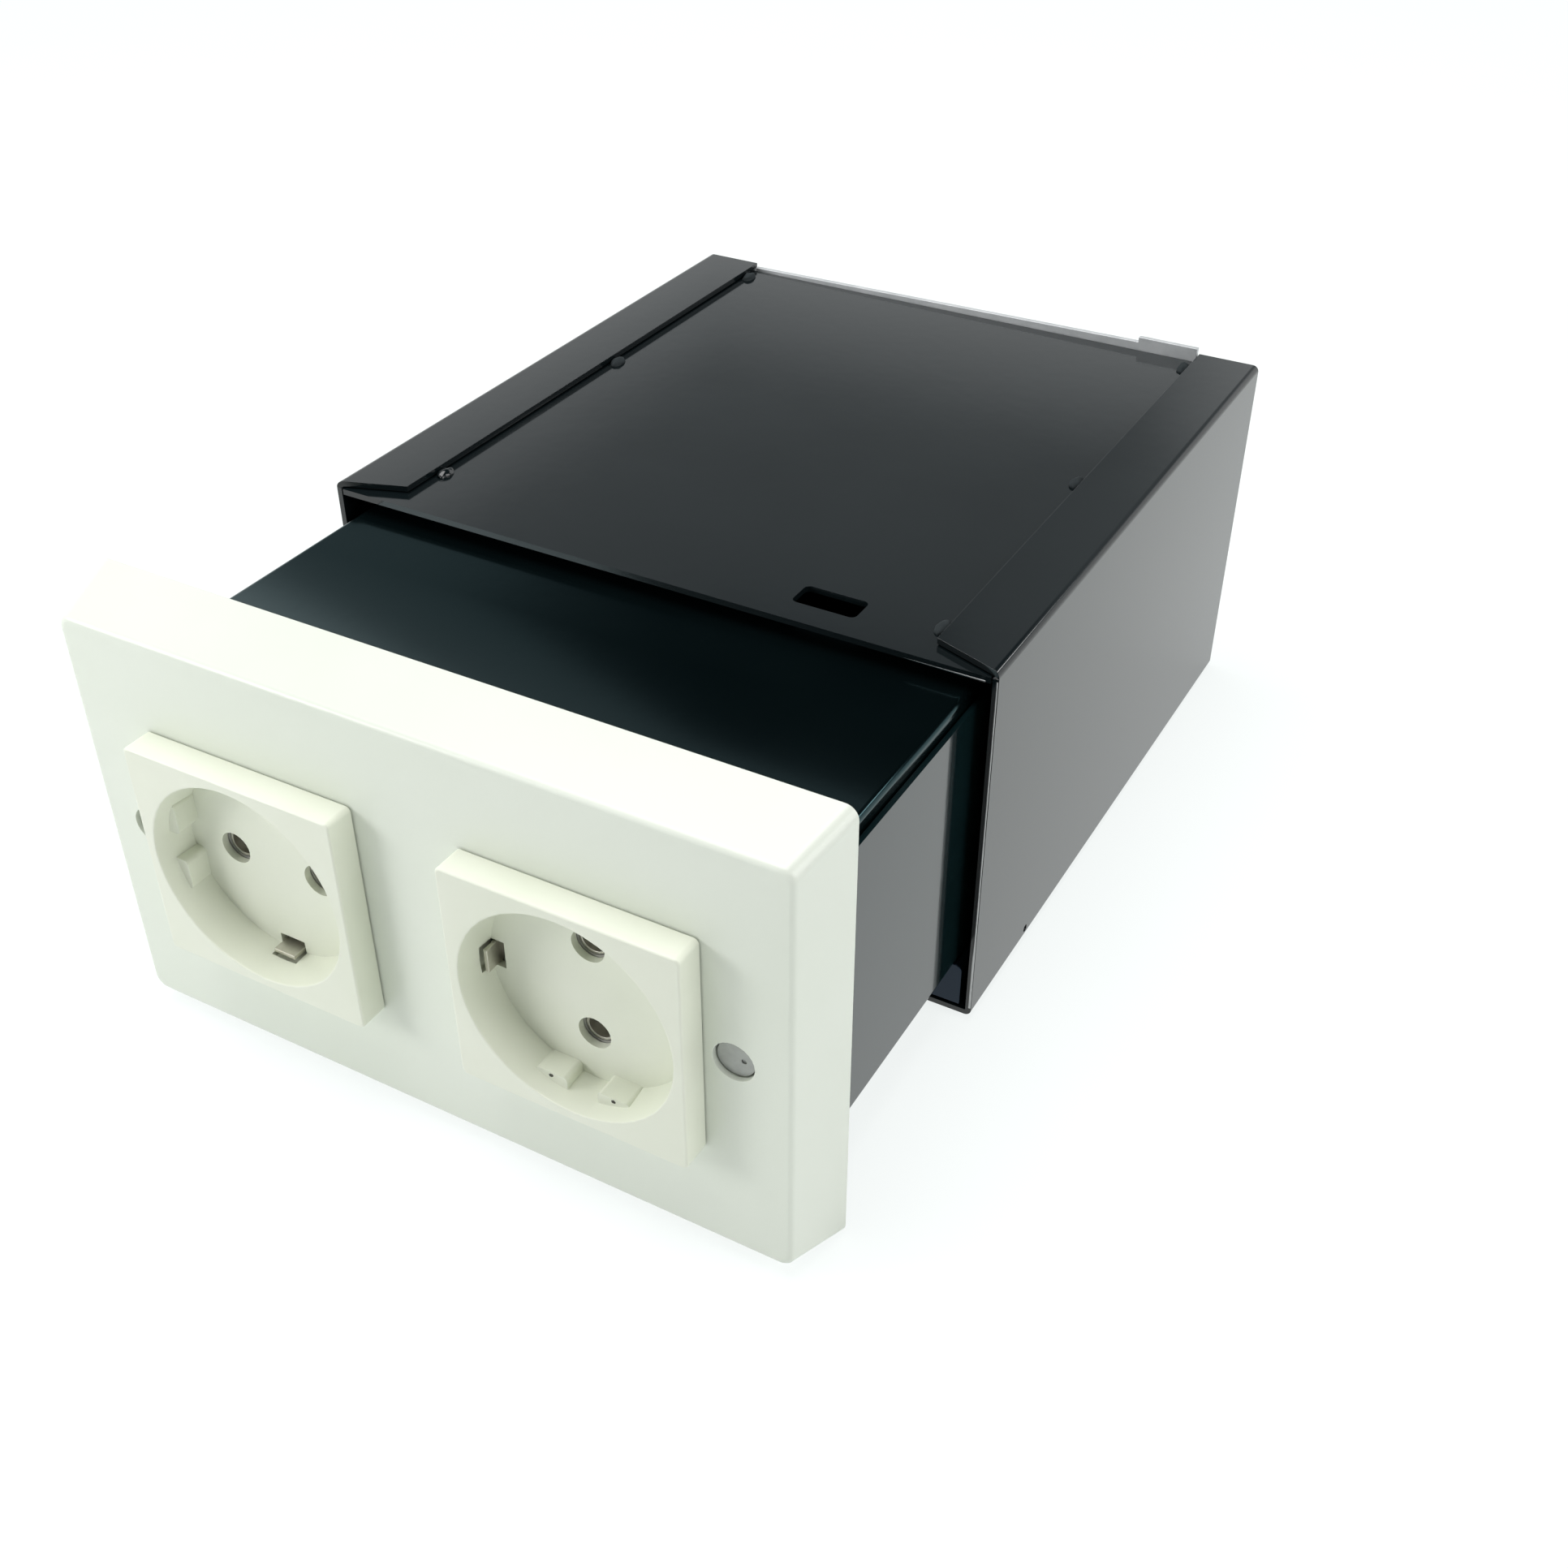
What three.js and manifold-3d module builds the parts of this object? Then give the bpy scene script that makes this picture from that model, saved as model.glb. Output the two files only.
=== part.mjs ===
// Outlet diversion safe: a sheet steel drawer hidden behind a double socket face, in a steel wall sleeve.
// Units are millimetres. X runs to the right, Y from the face plate into the wall, Z up.
// The origin is on the ground under the middle of the box around it, with the drawer part way out.
import * as THREE from "three";
import { mergeVertices } from "three/addons/utils/BufferGeometryUtils.js";
import Module from "manifold-3d";

const wasm = await Module();
wasm.setup();

// Clearances and cuts
const seam = 0.3; // between pieces that touch, fit or are welded
const overrun = 5; // how far a cut runs past the face it opens

// Face plate, a tapered hollow moulding; its width and height follow from what it holds
const plateDepth = 13.9;
const plateAbove = 22.2; // from the inserts to its upper rim
const plateBelow = 25.2;
const plateBeside = 13.55; // from the side holes to its side rims
const plateTaperX = 2.9;
const plateTaperZ = 3.55;
const plateWall = 2;
const plateEdgeRadius = 1.1;
const plateCornerRadius = 2.4;
const sideHoleRadius = 3.8;
const sideHoleRise = 0.8; // above the plate's centre

// Socket inserts
const insertSize = 45;
const insertGap = 21.3;
const insertProud = 6;
const insertEdgeRadius = 0.45;
const insertCornerRadius = 1;
const neckInset = 0.9; // the neck through the plate is this much smaller than the face, each side
const recessRim = 2; // between the recess and the insert's sides
const recessDraft = 0.6; // the floor's radius is this much less than the mouth's
const recessDepth = 8.2;
const recessMouthRadius = 0.4;
const recessFloorThickness = 1.4;
const pinSpacing = 19;
const pinHoleRadius = 3.2;
const ribWidth = 6.4;
const ribSpacing = 12.4;
const ribProud = 1.4;
const ribRound = 0.9;
const ribSetback = 3.5; // behind the mouth of the recess
const earthSlotWidth = 5.6;
const earthSlotInset = 2.8; // inwards from the edge of the recess floor
const earthSlotOutset = 0.5; // outwards from the mouth's radius
const earthSlotReach = 2.9; // from the recess floor towards the mouth
const frameThickness = 1.7;
const frameSideWidth = 1;
const frameEndWidth = 2.6;
const baseInset = 1.6; // the base is this much smaller than the neck, each side
const pocketFloor = 1; // behind each contact tube
const strapWidth = 4.8;
const strapThickness = 0.8;
const tubeRadius = 2.8;
const tubeWall = 0.5;

// Drawer, whose width and height follow from the sleeve
const drawerLength = 145.7;
const besideDrawer = 2.9; // free space in the sleeve
const underDrawer = 10.4;
const overDrawer = 2.9;
const drawerSheet = 1;
const drawerBend = 1.1;
const deckRise = 3.1; // from the tops of the tray's walls to the top of the deck
const lipHeight = 7;
const deckLength = 66;
const notchSpare = 2.2; // round the lock arm's swing through the deck

// Mounting plate, screws and rivets
const mountSheet = 1.2;
const screwInset = 4.6;
const screwRadius = 1.5;
const screwLength = 7;
const screwHeadRadius = 2.9;
const screwHeadHeight = 1.9;
const screwSlotWidth = 0.8;
const screwSlotDepth = 0.7;
const bossRadius = 3.6;
const rivetInsetX = 9.9; // from the tray's sides
const rivetInsetZ = 4.7; // from the tray's floor and the tops of its walls
const rivetRadius = 1.5;
const rivetHeadRadius = 2.6;
const rivetHeadHeight = 0.9;

// Lock
const plugRecess = 0.9; // the visible disc lies this far behind the plate's face
const plugRadius = 3.5;
const plugShankRadius = 3;
const bushingRadius = 4.6;
const bushingSpare = 0.35; // between the bushing and the frame of the insert beside it
const bushingNeckRadius = 4.2;
const dimpleRadius = 0.45;
const dimpleOffset = 1.4;
const dimpleDepth = 0.3;
const pinCollarRadius = 4.6;
const pinCollarThickness = 1.6;
const camReach = 1.86; // the raised arm's corner stands this far out of the top plate
const camWidth = 8;
const camThickness = 2;
const camEyeRadius = 4.2;
const camTipRound = 1.2;
const camBehindRim = 8.25;
const squareSize = 4;
const camScrewRadius = 1.1;
const camScrewHeadRadius = 3;
const camScrewHeadHeight = 1.2;
const camScrewLength = 6;

// Wall sleeve, which the face plate overlaps all round and whose depth takes the drawer
const sleeveLift = 2.5; // above the plate's lower rim
const sleeveDrop = 10.4; // below the plate's upper rim
const sleeveSide = 2.55; // inwards from the plate's side rims
const sleeveSheet = 1.2;
const sleeveBend = 1.4;
const flangeWidth = 14;
const mitreDepth = 5;
const pullOut = 57.3; // from the plate's rim to the sleeve's mouth, as the drawer stands
const slotWidth = 13; // in the top plate, for the lock's arm
const slotLength = 6.3;
const slotRound = 1.2;
const weldLength = 4;
const weldWidth = 2.2;
const weldHeight = 1;
const leftWeldShares = [0.105, 0.543, 0.955]; // of the sleeve's depth, from its mouth
const rightWeldShares = [0.072, 0.51, 0.955];
const drainRadius = 0.8;
const drainRise = 2.4;
const drainBack = 26.7;
const rearRiseLeft = 0.7; // of the rear wall's top edge above the top plate, at the left flange
const rearRiseRight = 2; // and at the right flange
const tabWidth = 14;
const tabHeight = 3;
const rearHoleRadius = 2.7;
const rearHoleInsetX = 22; // from the sleeve's sides
const rearHoleInsetZ = 17.75; // from its floor and top

// Runners
const ledgeWidth = 9;
const runnerSheet = 1.2;
const runnerBend = 1.5;
const runnerGap = 1.5; // from the sleeve's wall
const runnerSetback = 0.4; // behind the sleeve's mouth
const runnerRearGap = 2.5;

// Facets of round shapes, and angles
const fineSides = 48;
const roundSides = 24;
const smallSides = 16;
const arcSteps = 4;
const quarterTurn = Math.PI / 2;
const camRaised = (51.6 * Math.PI) / 180; // the arm's angle where it stands in the slot

// Sizes and places worked out from the sizes above
const insertSpacing = insertSize + insertGap;
const insertRise = (plateBelow - plateAbove) / 2; // above the plate's centre
const neckHalf = insertSize / 2 - neckInset;
const recessRadius = insertSize / 2 - recessRim;
const recessFloorRadius = recessRadius - recessDraft;
const earthSlotInner = recessFloorRadius - earthSlotInset;
const earthSlotOuter = recessRadius + earthSlotOutset;
const lockX = insertSpacing / 2 + neckHalf + seam + frameSideWidth + bushingSpare + bushingRadius;
const plateWidth = 2 * (lockX + plateBeside);
const plateHeight = plateBelow + insertSize + plateAbove;
const lockZ = plateHeight / 2 + sideHoleRise;
const sleeveWidth = plateWidth - 2 * sleeveSide;
const sleeveHeight = plateHeight - sleeveLift - sleeveDrop;
const drawerWidth = sleeveWidth - 2 * (sleeveSheet + besideDrawer);
const mountBack = plateDepth - screwHeadHeight - 2 * seam;
const mountFront = mountBack - mountSheet;
const trayFront = mountBack + seam;
const trayBack = trayFront + drawerLength;
const sleeveDepth = trayBack - plateDepth + seam + sleeveSheet;
const overallDepth = insertProud + plateDepth + pullOut + sleeveDepth;
const plateFaceY = insertProud - overallDepth / 2;
const plateRimY = plateFaceY + plateDepth;
const mouthY = plateRimY + pullOut;
const sleeveBackY = mouthY + sleeveDepth;
const centreZ = plateHeight / 2;
const sleeveTop = sleeveLift + sleeveHeight;
const sleeveInside = sleeveWidth / 2 - sleeveSheet;
const sleeveFloor = sleeveLift + sleeveSheet;
const topPlateTop = sleeveTop - sleeveSheet - seam;
const topPlateLow = topPlateTop - sleeveSheet;
const rearWallFront = sleeveBackY - sleeveSheet;
const coverBack = recessDepth + recessFloorThickness - insertProud;
const baseFront = coverBack + seam;
const rivetFloor = rivetHeadHeight + seam;
const drawerTop = topPlateLow - overDrawer;
const drawerLow = sleeveFloor + underDrawer;
const deckHalf = drawerWidth / 2 - drawerSheet - seam;
const wallTop = drawerTop - deckRise;
const camFront = plateDepth + camBehindRim;
const camRise = topPlateTop + camReach - lockZ - (camWidth / 2) * Math.cos(camRaised);
const camLength = camRise / Math.sin(camRaised);
const mountHalfX = plateWidth / 2 - plateTaperX - plateWall - seam;
const mountHalfZ = plateHeight / 2 - plateTaperZ - plateWall - seam;
const screwX = mountHalfX - screwInset;
const screwZ = mountHalfZ - screwInset;
const rivetX = drawerWidth / 2 - rivetInsetX;
const rivetLow = drawerLow + rivetInsetZ - centreZ;
const rivetHigh = wallTop - rivetInsetZ - centreZ;

// Materials
function finish(color, roughness, metalness) {
  return new THREE.MeshStandardMaterial({ color, roughness, metalness, flatShading: true });
}
const whiteMoulding = () => finish(0xeceee6, 0.35, 0);
const blackCoat = () => finish(0x1d1f22, 0.3, 0.1);
const zincSteel = () => finish(0xa9abac, 0.35, 0.9);
const greyMetal = () => finish(0x8b8d8f, 0.4, 0.8);
const brass = () => finish(0xb59a5a, 0.35, 0.9);
const greyThermoset = () => finish(0xc9c8c0, 0.6, 0);

// A closed three.js geometry as a solid that can be joined and cut
function solid(geometry) {
  const bare = geometry.clone();
  bare.deleteAttribute("normal");
  bare.deleteAttribute("uv");
  const merged = mergeVertices(bare);
  return new wasm.Manifold(
    new wasm.Mesh({
      numProp: 3,
      vertProperties: merged.attributes.position.array,
      triVerts: new Uint32Array(merged.index.array),
    }),
  );
}

function join(...bodies) {
  return bodies.reduce((whole, body) => whole.add(body));
}

function cut(body, ...tools) {
  return tools.reduce((rest, tool) => rest.subtract(tool), body);
}

// A named mesh of a solid
function piece(name, body, material) {
  const { vertProperties, triVerts } = body.getMesh();
  const geometry = new THREE.BufferGeometry();
  geometry.setAttribute("position", new THREE.BufferAttribute(vertProperties, 3));
  geometry.setIndex(new THREE.BufferAttribute(triVerts, 1));
  const mesh = new THREE.Mesh(geometry, material);
  mesh.name = name;
  return mesh;
}

// Each range is a pair, low and high
function box([x0, x1], [y0, y1], [z0, z1]) {
  const block = new THREE.BoxGeometry(x1 - x0, y1 - y0, z1 - z0);
  return solid(block.translate((x0 + x1) / 2, (y0 + y1) / 2, (z0 + z1) / 2));
}

function around(centre, half) {
  return [centre - half, centre + half];
}

// A round bar along Y
function rod(x, z, radius, [y0, y1], sides = roundSides) {
  const bar = new THREE.CylinderGeometry(radius, radius, y1 - y0, sides);
  return solid(bar.translate(x, (y0 + y1) / 2, z));
}

function ring(x, z, outer, inner, [y0, y1], sides = roundSides) {
  return cut(rod(x, z, outer, [y0, y1], sides), rod(x, z, inner, [y0 - overrun, y1 + overrun], sides));
}

// A rectangle with round corners
function roundedOutline([x0, x1], [z0, z1], radius) {
  const outline = new THREE.Shape();
  outline.absarc(x1 - radius, z1 - radius, radius, 0, quarterTurn);
  outline.absarc(x0 + radius, z1 - radius, radius, quarterTurn, 2 * quarterTurn);
  outline.absarc(x0 + radius, z0 + radius, radius, 2 * quarterTurn, 3 * quarterTurn);
  outline.absarc(x1 - radius, z0 + radius, radius, 3 * quarterTurn, 2 * Math.PI);
  outline.closePath();
  return outline;
}

// An outline in X and Z, drawn out along Y
function alongY(outline, [y0, y1]) {
  const shape = { depth: y1 - y0, bevelEnabled: false, curveSegments: arcSteps };
  return solid(new THREE.ExtrudeGeometry(outline, shape).rotateX(quarterTurn).translate(0, y1, 0));
}

// An outline in X and Y, drawn out along Z
function alongZ(outline, [z0, z1]) {
  const shape = { depth: z1 - z0, bevelEnabled: false, curveSegments: arcSteps };
  return solid(new THREE.ExtrudeGeometry(outline, shape).translate(0, 0, z0));
}

function polygon(points) {
  return new THREE.Shape(points.map(([x, y]) => new THREE.Vector2(x, y)));
}

// A folded sheet tube along Y, of one thickness, with round bends
function sheetTube([x0, x1], [z0, z1], sheet, bend, y) {
  const outside = alongY(roundedOutline([x0, x1], [z0, z1], bend), y);
  const hollow = roundedOutline([x0 + sheet, x1 - sheet], [z0 + sheet, z1 - sheet], bend - sheet);
  return cut(outside, alongY(hollow, [y[0] - overrun, y[1] + overrun]));
}

// A round-cornered rectangle's points at one depth, for a loft
function loftRing(halfX, halfZ, radius, y) {
  const outline = roundedOutline(around(0, halfX), around(0, halfZ), radius);
  const corners = outline.getPoints(arcSteps).slice(0, -1); // the last point repeats the first
  return corners.map((p) => new THREE.Vector3(p.x, y, p.y));
}

// A closed solid through rings of equal counts, from the front to the back
function loft(rings) {
  const count = rings[0].length;
  const points = rings.flat();
  const faces = [];
  rings.slice(1).forEach((_, level) => {
    for (let i = 0; i < count; i += 1) {
      const a = level * count + i;
      const b = level * count + ((i + 1) % count);
      faces.push(a, a + count, b, b, a + count, b + count);
    }
  });
  const last = (rings.length - 1) * count;
  for (let i = 1; i < count - 1; i += 1) {
    faces.push(0, i, i + 1, last, last + i + 1, last + i);
  }
  const geometry = new THREE.BufferGeometry().setFromPoints(points);
  geometry.setIndex(faces);
  return solid(geometry);
}

// A block whose front edge is rounded, from the front at y0 to y1, wider by the flares at the back
function softBlock(halfX, halfZ, corner, edge, [y0, y1], flareX = 0, flareZ = 0) {
  const rings = [];
  for (let step = 0; step <= arcSteps; step += 1) {
    const turn = (quarterTurn * step) / arcSteps;
    const inset = edge * (1 - Math.sin(turn));
    const depth = edge * (1 - Math.cos(turn));
    rings.push(loftRing(halfX - inset, halfZ - inset, corner, y0 + depth));
  }
  rings.push(loftRing(halfX + flareX, halfZ + flareZ, corner, y1));
  return loft(rings);
}

// The face plate's places are measured back from its face
function facePlate() {
  const halfX = plateWidth / 2 - plateTaperX;
  const halfZ = plateHeight / 2 - plateTaperZ;
  const back = [0, plateDepth];
  const outside = softBlock(halfX, halfZ, plateCornerRadius, plateEdgeRadius, back, plateTaperX, plateTaperZ);
  const insideFront = loftRing(halfX - plateWall, halfZ - plateWall, plateCornerRadius / 2, plateWall);
  const rimX = plateWidth / 2 - plateWall;
  const rimZ = plateHeight / 2 - plateWall;
  const insideBack = loftRing(rimX, rimZ, plateCornerRadius / 2, plateDepth + seam);
  let plate = cut(outside, loft([insideFront, insideBack]));
  for (const x of [-screwX, screwX]) {
    for (const z of [-screwZ, screwZ]) {
      plate = join(plate, rod(x, z, bossRadius, [plateWall / 2, mountFront - seam]));
      plate = cut(plate, rod(x, z, screwRadius + seam, [plateWall + seam, mountFront + overrun], smallSides));
    }
  }
  const opening = neckHalf + seam;
  for (const x of [-insertSpacing / 2, insertSpacing / 2]) {
    plate = cut(plate, box(around(x, opening), around(0, plateWall + overrun), around(insertRise, opening)));
  }
  for (const x of [-lockX, lockX]) {
    plate = cut(plate, rod(x, sideHoleRise, sideHoleRadius, around(0, plateWall + overrun)));
  }
  return plate;
}

// The recess of an insert, with its pins along X, as the tool that cuts it
function recessTool() {
  const mouth = -insertProud;
  const floor = mouth + recessDepth;
  const profile = [
    [0, mouth - overrun],
    [recessRadius + recessMouthRadius, mouth - overrun],
    [recessRadius + recessMouthRadius, mouth],
    [recessRadius + recessMouthRadius / 3, mouth + recessMouthRadius / 3],
    [recessRadius, mouth + recessMouthRadius],
    [recessFloorRadius, floor],
    [0, floor],
  ].map(([radius, y]) => new THREE.Vector2(radius, y));
  return solid(new THREE.LatheGeometry(profile, fineSides));
}

// The guide ribs stand in pairs at both ends of the line through the pins
function guideRibs() {
  const floor = recessDepth - insertProud;
  const y = [ribSetback - insertProud, floor];
  const ribs = [];
  for (const side of [-1, 1]) {
    for (const z of [-ribSpacing / 2, ribSpacing / 2]) {
      const reach = Math.sqrt(recessFloorRadius ** 2 - z ** 2);
      const inner = side * (reach - ribProud);
      const outer = side * (reach + ribWidth / 2);
      const across = [Math.min(inner, outer), Math.max(inner, outer)];
      ribs.push(alongY(roundedOutline(across, around(z, ribWidth / 2), ribRound), y));
    }
  }
  return ribs;
}

// An insert's pieces are measured from its centre, in the plane of the plate's face
function socketCover() {
  const half = insertSize / 2;
  const face = softBlock(half, half, insertCornerRadius, insertEdgeRadius, [-insertProud, -seam]);
  const body = join(face, box(around(0, neckHalf), [-2 * seam, coverBack], around(0, neckHalf)));
  let cover = cut(body, cut(recessTool(), ...guideRibs()));
  for (const x of [-pinSpacing / 2, pinSpacing / 2]) {
    cover = cut(cover, rod(x, 0, pinHoleRadius, [0, coverBack + overrun]));
  }
  const slotY = [recessDepth - insertProud - earthSlotReach, coverBack + overrun];
  const slotX = around(0, earthSlotWidth / 2);
  cover = cut(cover, box(slotX, slotY, [earthSlotInner, earthSlotOuter]));
  return cut(cover, box(slotX, slotY, [-earthSlotOuter, -earthSlotInner]));
}

// A frame behind the plate that holds the insert's neck
function insertFrame() {
  const inner = neckHalf + seam;
  const y = [plateWall + seam, plateWall + seam + frameThickness];
  const outside = box(around(0, inner + frameSideWidth), y, around(0, inner + frameEndWidth));
  return cut(outside, box(around(0, inner), [y[0] - overrun, y[1] + overrun], around(0, inner)));
}

// The moulded base behind the cover, with pockets for the contacts and a channel for the earth strap
function socketBase() {
  const half = neckHalf - baseInset;
  const back = mountFront - rivetFloor;
  let base = box(around(0, half), [baseFront, back], around(0, half));
  for (const x of [-pinSpacing / 2, pinSpacing / 2]) {
    base = cut(base, rod(x, 0, tubeRadius + seam, [baseFront - overrun, back - pocketFloor]));
  }
  const channel = strapThickness + 2 * seam;
  const across = around(0, strapWidth / 2 + seam);
  return cut(base, box(across, [baseFront - overrun, baseFront + channel], around(0, half + overrun)));
}

function contactTube() {
  const back = mountFront - rivetFloor - pocketFloor - seam;
  return ring(0, 0, tubeRadius, tubeRadius - tubeWall, [baseFront, back], smallSides);
}

// A strip across the base whose two ends turn forward into the recess
function earthStrap() {
  const finger = earthSlotInner + (earthSlotOuter - earthSlotInner) / 2;
  const flat = [baseFront + seam, baseFront + seam + strapThickness];
  const tip = recessDepth - insertProud - earthSlotReach + seam;
  const across = around(0, strapWidth / 2);
  const outer = finger + strapThickness / 2;
  const inner = finger - strapThickness / 2;
  return join(
    box(across, flat, around(0, outer)),
    box(across, [tip, flat[1]], [inner, outer]),
    box(across, [tip, flat[1]], [-outer, -inner]),
  );
}

function mountingPlate() {
  const y = [mountFront, mountBack];
  const through = [mountFront - overrun, mountBack + overrun];
  let plate = alongY(roundedOutline(around(0, mountHalfX), around(0, mountHalfZ), plateCornerRadius), y);
  for (const x of [-1, 1]) {
    for (const z of [-screwZ, screwZ]) {
      plate = cut(plate, rod(x * screwX, z, screwRadius + seam, through, smallSides));
    }
    for (const z of [rivetLow, rivetHigh]) {
      plate = cut(plate, rod(x * rivetX, z, rivetRadius + seam, through, smallSides));
    }
  }
  return cut(plate, rod(lockX, sideHoleRise, bushingNeckRadius + seam, through));
}

function plateScrew() {
  const head = [mountBack + seam, mountBack + seam + screwHeadHeight];
  const bolt = join(
    rod(0, 0, screwHeadRadius, head, smallSides),
    rod(0, 0, screwRadius, [head[0] - screwLength, head[0] + seam], smallSides),
  );
  const slotY = [head[1] - screwSlotDepth, head[1] + overrun];
  const length = around(0, screwHeadRadius + overrun);
  const width = around(0, screwSlotWidth / 2);
  return cut(bolt, box(length, slotY, width), box(width, slotY, length));
}

function rivet() {
  const tail = trayFront + drawerSheet + seam;
  return join(
    rod(0, 0, rivetHeadRadius, [mountFront - rivetFloor, mountFront - seam], smallSides),
    rod(0, 0, rivetRadius, [mountFront - 2 * seam, tail + seam], smallSides),
    rod(0, 0, rivetHeadRadius, [tail, tail + rivetHeadHeight], smallSides),
  );
}

// A folded tray: floor, two sides, front and rear walls, open on top
function drawerTray() {
  const across = around(0, drawerWidth / 2);
  const up = [drawerLow - centreZ, wallTop - centreZ];
  const full = [up[0], up[1] + overrun];
  const outside = alongY(roundedOutline(across, full, drawerBend), [trayFront, trayBack]);
  const inX = around(0, drawerWidth / 2 - drawerSheet);
  const inZ = [up[0] + drawerSheet, up[1] + 2 * overrun];
  const inY = [trayFront + drawerSheet, trayBack - drawerSheet];
  const hollow = alongY(roundedOutline(inX, inZ, drawerBend - drawerSheet), inY);
  const wide = around(0, drawerWidth / 2 + overrun);
  const above = box(wide, [trayFront - overrun, trayBack + overrun], [up[1], up[1] + 3 * overrun]);
  let tray = cut(outside, hollow, above);
  const through = [trayFront - overrun, trayFront + drawerSheet + overrun];
  for (const x of [-rivetX, rivetX]) {
    for (const z of [rivetLow, rivetHigh]) {
      tray = cut(tray, rod(x, z, rivetRadius + seam, through, smallSides));
    }
  }
  return cut(tray, rod(lockX, sideHoleRise, bushingNeckRadius + seam, through));
}

// The deck covers the front of the tray, and its lips reach down inside the walls
function drawerDeck() {
  const top = drawerTop - centreZ;
  const low = drawerLow - centreZ;
  const y = [trayFront, trayFront + deckLength];
  const tube = sheetTube(around(0, deckHalf), [low, top], drawerSheet, drawerBend, y);
  const wide = around(0, deckHalf + overrun);
  const below = box(wide, [y[0] - overrun, y[1] + overrun], [low - overrun, top - lipHeight]);
  const lipFront = trayFront + drawerSheet + seam;
  const overWall = box(wide, [y[0] - overrun, lipFront], [low - overrun, wallTop - centreZ + seam]);
  const rise = drawerTop - drawerSheet - lockZ;
  const reach = Math.hypot(camLength, camWidth / 2);
  const left = lockX - Math.sqrt(reach ** 2 - rise ** 2) - notchSpare;
  const right = lockX - rise / Math.tan(camRaised) + camWidth / 2 / Math.sin(camRaised) + notchSpare;
  const notch = [y[0] - overrun, camFront + camThickness + notchSpare];
  const swing = alongZ(roundedOutline([left, right], notch, slotRound), around(top, overrun));
  return cut(tube, below, overWall, swing);
}

// The lock's pieces are measured from its axis and back from the plate's face
function lockBushing() {
  const neckEnd = camFront - seam;
  const shoulder = mountFront - seam;
  const body = join(
    rod(0, 0, bushingRadius, [plateWall + seam, shoulder]),
    rod(0, 0, bushingNeckRadius, [shoulder - seam, neckEnd]),
  );
  const wide = rod(0, 0, plugRadius + seam, [-overrun, shoulder - seam]);
  return cut(body, wide, rod(0, 0, plugShankRadius + seam, [0, neckEnd + overrun]));
}

function lockPlug() {
  const shoulder = mountFront - 3 * seam;
  const half = squareSize / 2;
  const plug = join(
    rod(0, 0, plugRadius, [plugRecess, shoulder]),
    rod(0, 0, plugShankRadius, [shoulder - seam, camFront - seam]),
    box(around(0, half), [camFront - 2 * seam, camFront + camThickness], around(0, half)),
  );
  const dimple = rod(dimpleOffset, 0, dimpleRadius, [0, plugRecess + dimpleDepth], smallSides);
  const threadY = [camFront + camThickness - camScrewLength, camFront + camThickness + overrun];
  return cut(plug, dimple, rod(0, 0, camScrewRadius + seam, threadY, smallSides));
}

// The arm that rises into the sleeve's slot when the plug is turned
function lockCam() {
  const y = [camFront, camFront + camThickness];
  const arm = alongY(roundedOutline([-camLength, 0], around(0, camWidth / 2), camTipRound), y);
  const hole = squareSize / 2 + seam;
  const eye = join(arm, rod(0, 0, camEyeRadius, y));
  return cut(eye, box(around(0, hole), [y[0] - overrun, y[1] + overrun], around(0, hole)));
}

function camScrew() {
  const headFront = camFront + camThickness + seam;
  const head = [headFront, headFront + camScrewHeadHeight];
  const shank = [headFront - camScrewLength + 2 * seam, headFront + seam];
  const bolt = join(
    rod(0, 0, camScrewHeadRadius, head, smallSides),
    rod(0, 0, camScrewRadius, shank, smallSides),
  );
  const slotY = [head[1] - screwSlotDepth, head[1] + overrun];
  return cut(bolt, box(around(0, screwSlotWidth / 2), slotY, around(0, camScrewHeadRadius + overrun)));
}

// A plain pin fills the other side hole, so that both look alike
function blankPin() {
  const collar = [plateWall + seam, plateWall + seam + pinCollarThickness];
  return join(
    rod(0, 0, plugRadius, [plugRecess, mountFront - seam]),
    rod(0, 0, pinCollarRadius, collar),
  );
}

// A folded sheet: floor, two walls, and a flange turned in at the top of each wall
function sleeveShell() {
  const half = sleeveWidth / 2;
  const y = [mouthY, sleeveBackY];
  const tube = sheetTube(around(0, half), [sleeveLift, sleeveTop], sleeveSheet, sleeveBend, y);
  const inner = half - flangeWidth;
  const cutY = [mouthY - overrun, sleeveBackY + overrun];
  let shell = cut(tube, box(around(0, inner), cutY, around(sleeveTop, overrun)));
  for (const side of [-1, 1]) {
    const mitre = polygon([
      [side * half, mouthY],
      [side * (inner - overrun), mouthY + (mitreDepth * (flangeWidth + overrun)) / flangeWidth],
      [side * (inner - overrun), mouthY - overrun],
      [side * half, mouthY - overrun],
    ]);
    shell = cut(shell, alongZ(mitre, [sleeveTop - sleeveSheet - seam, sleeveTop + overrun]));
    const drain = new THREE.CylinderGeometry(drainRadius, drainRadius, 2 * overrun, smallSides);
    drain.rotateZ(quarterTurn).translate(side * half, mouthY + drainBack, sleeveLift + drainRise);
    shell = cut(shell, solid(drain));
  }
  return shell;
}

// A flattened bead of weld beside a flange
function weldBead(x, y) {
  const bead = new THREE.SphereGeometry(1, smallSides, smallSides / 2);
  bead.scale(weldWidth / 2, weldLength / 2, weldHeight);
  return solid(bead.translate(x, y, topPlateTop));
}

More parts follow.
